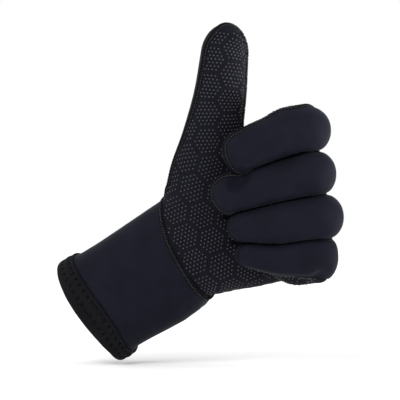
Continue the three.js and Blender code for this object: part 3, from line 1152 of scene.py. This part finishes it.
def rubber(name, colour, roughness):
    material, shader = new_material(name)
    set_inputs(shader, {"Base Color": (*colour, 1), "Roughness": roughness})
    set_inputs(shader, {"Specular IOR Level": 0.35})
    return material


NEOPRENE = fabric("neoprene", (0.0044, 0.0047, 0.0098), 0.72, 0.025)
PALM_GRIP = fabric("palm_grip", (0.0042, 0.0042, 0.0076), 0.78, 0.015)
GRIP_DOTS = rubber("grip_dots", (0.048, 0.048, 0.053), 0.5)
# The chain stitches' grey is lighter than the black thread: a painted highlight standing in for the
# gloss thread's glints.
GLINT_PAINTED_THREAD = fabric("thread", (0.034, 0.034, 0.037), 0.6, 0.04, knit=0.1)
HEM_THREAD = fabric("hem_thread", (0.0115, 0.0115, 0.0125), 0.7, 0.02, knit=0.1)
HEM = fabric("hem", (0.0046, 0.0046, 0.0058), 0.85, 0.015)

# Assembly

SEAM_END_LENGTH = 6.0  # over which the panels' seam sinks towards the wrist
SEAM_END_DEPTH = 1.2
WRIST_SEAM_OUTSET = -0.1
WRIST_SEAM_POINTS = 420
CUFF_SEAM_OUTSET = -0.25
CUFF_SEAM_POINTS = 90
CUFF_SEAM_ENDS = (0.8, 1.5)  # bare lengths at the hem and at the wrist seam
CUFF_SEAM_ANGLE = np.pi + 0.25  # on the little finger's side, a little towards the palm


def finish_piece(piece, material, node=None):
    piece.data.materials.append(material)
    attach(piece, "root")
    if node:
        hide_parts(node)


def sew(name, line, out, side, ridge, row_on_top=False):
    """An overlocked ridge along a line, with a row of stitches on each side or one on top."""
    half, height = ridge
    edge = ridge_parts(line - out * RIDGE_LOW, out, side, ridge)
    loops = overlock_loops(line, out, side, ridge)
    finish_piece(make_mesh(name + "_ridge", *join_parts([edge, loops])), HEM)
    if row_on_top:
        chains = [edge_chain(line + out * (height - TOP_ROW_SUNK), out, side, 0)]
    else:
        beside = half + CHAIN_CLEAR
        chains = [edge_chain(line, out, side, way * beside) for way in (-1, 1)]
    # The chains carry the painted highlight of the thread's glints in their grey colour.
    finish_piece(make_mesh(name + "_threads", *join_parts(chains)), GLINT_PAINTED_THREAD)


def sew_panel_seam():
    line = panel_seam()
    out, side = square_frame(line, smooth_rows(normals_at(line), FRAME_SMOOTHING))
    steps = np.arange(len(line))
    to_wrist = np.minimum(steps, steps[::-1]) * SEAM_SPACING
    sunk = SEAM_END_DEPTH * (1 - smooth_step(to_wrist, 0, SEAM_END_LENGTH))
    sew("panel_seam", line - out * sunk[:, None], out, side, PANEL_RIDGE)


def sew_cuff_seams():
    angle = np.linspace(0, 2 * np.pi, WRIST_SEAM_POINTS)
    wrist_frame = cuff_frame(CUFF_LENGTH, angle, WRIST_SEAM_OUTSET, leaning=1.0)
    sew("wrist_seam", *wrist_frame, WRIST_RIDGE, row_on_top=True)
    start, end = HEM_WIDTH + CUFF_SEAM_ENDS[0], CUFF_LENGTH - CUFF_SEAM_ENDS[1]
    distance = np.linspace(start, end, CUFF_SEAM_POINTS)
    sew("cuff_seam", *cuff_frame(distance, CUFF_SEAM_ANGLE, CUFF_SEAM_OUTSET), CUFF_RIDGE)


palm, back = build_panels()
finish_piece(palm, PALM_GRIP, "palm_panel")
finish_piece(back, NEOPRENE, "back_panel")
finish_piece(build_sleeve(), NEOPRENE, "cuff_sleeve")
finish_piece(build_hem(), HEM, "cuff_hem")
finish_piece(make_mesh("grip_dots", *build_dots()), GRIP_DOTS)
sew_panel_seam()
sew_cuff_seams()
finish_piece(make_mesh("hem_threads", *hem_threads()), HEM_THREAD)

# Stage and light, in metres and watts

FLOOR_HEIGHT = -0.0318
FLOOR_X = 0.07
FLOOR_SIZE = 6
FLOOR_GLOW = 0.17
WHITE = (1, 1, 1, 1)

# Place, a point that the light faces, diameter and power. The key light faces past the glove's
# left. The other one faces away from the glove and lights the floor on its right.
LIGHTS = {
    "key": ((-0.35, -0.9, 0.75), (-0.785, -0.03, 0.07), 0.5, 9),
    "right": ((0.75, -0.4, 0.22), (1.415, -0.03, 0.07), 0.3, 175),
}


def add_area(name, place, faced, size, power):
    data = bpy.data.lights.new(name, "AREA")
    data.shape = "DISK"
    data.size = size
    data.energy = power
    light = bpy.data.objects.new(name, data)
    light.location = place
    x, y, z = np.asarray(faced) - np.asarray(place)
    light.rotation_euler = (math.atan2(math.hypot(x, y), -z), 0, math.pi - math.atan2(-x, -y))
    bpy.context.collection.objects.link(light)


def add_stage():
    bpy.ops.mesh.primitive_plane_add(size=FLOOR_SIZE, location=(FLOOR_X, 0, FLOOR_HEIGHT))
    floor = bpy.context.object
    floor.name = "floor"
    material, shader = new_material("floor")
    set_inputs(shader, {"Base Color": (0.9, 0.9, 0.9, 1), "Roughness": 0.9})
    set_inputs(shader, {"Emission Color": WHITE, "Emission Strength": FLOOR_GLOW})
    floor.data.materials.append(material)
    world = bpy.data.worlds.new("studio")
    world.use_nodes = True
    set_inputs(world.node_tree.nodes["Background"], {"Color": WHITE, "Strength": 1.0})
    bpy.context.scene.world = world


add_stage()
for light_name, light_values in LIGHTS.items():
    add_area(light_name, *light_values)
bpy.context.scene.view_settings.view_transform = "Standard"
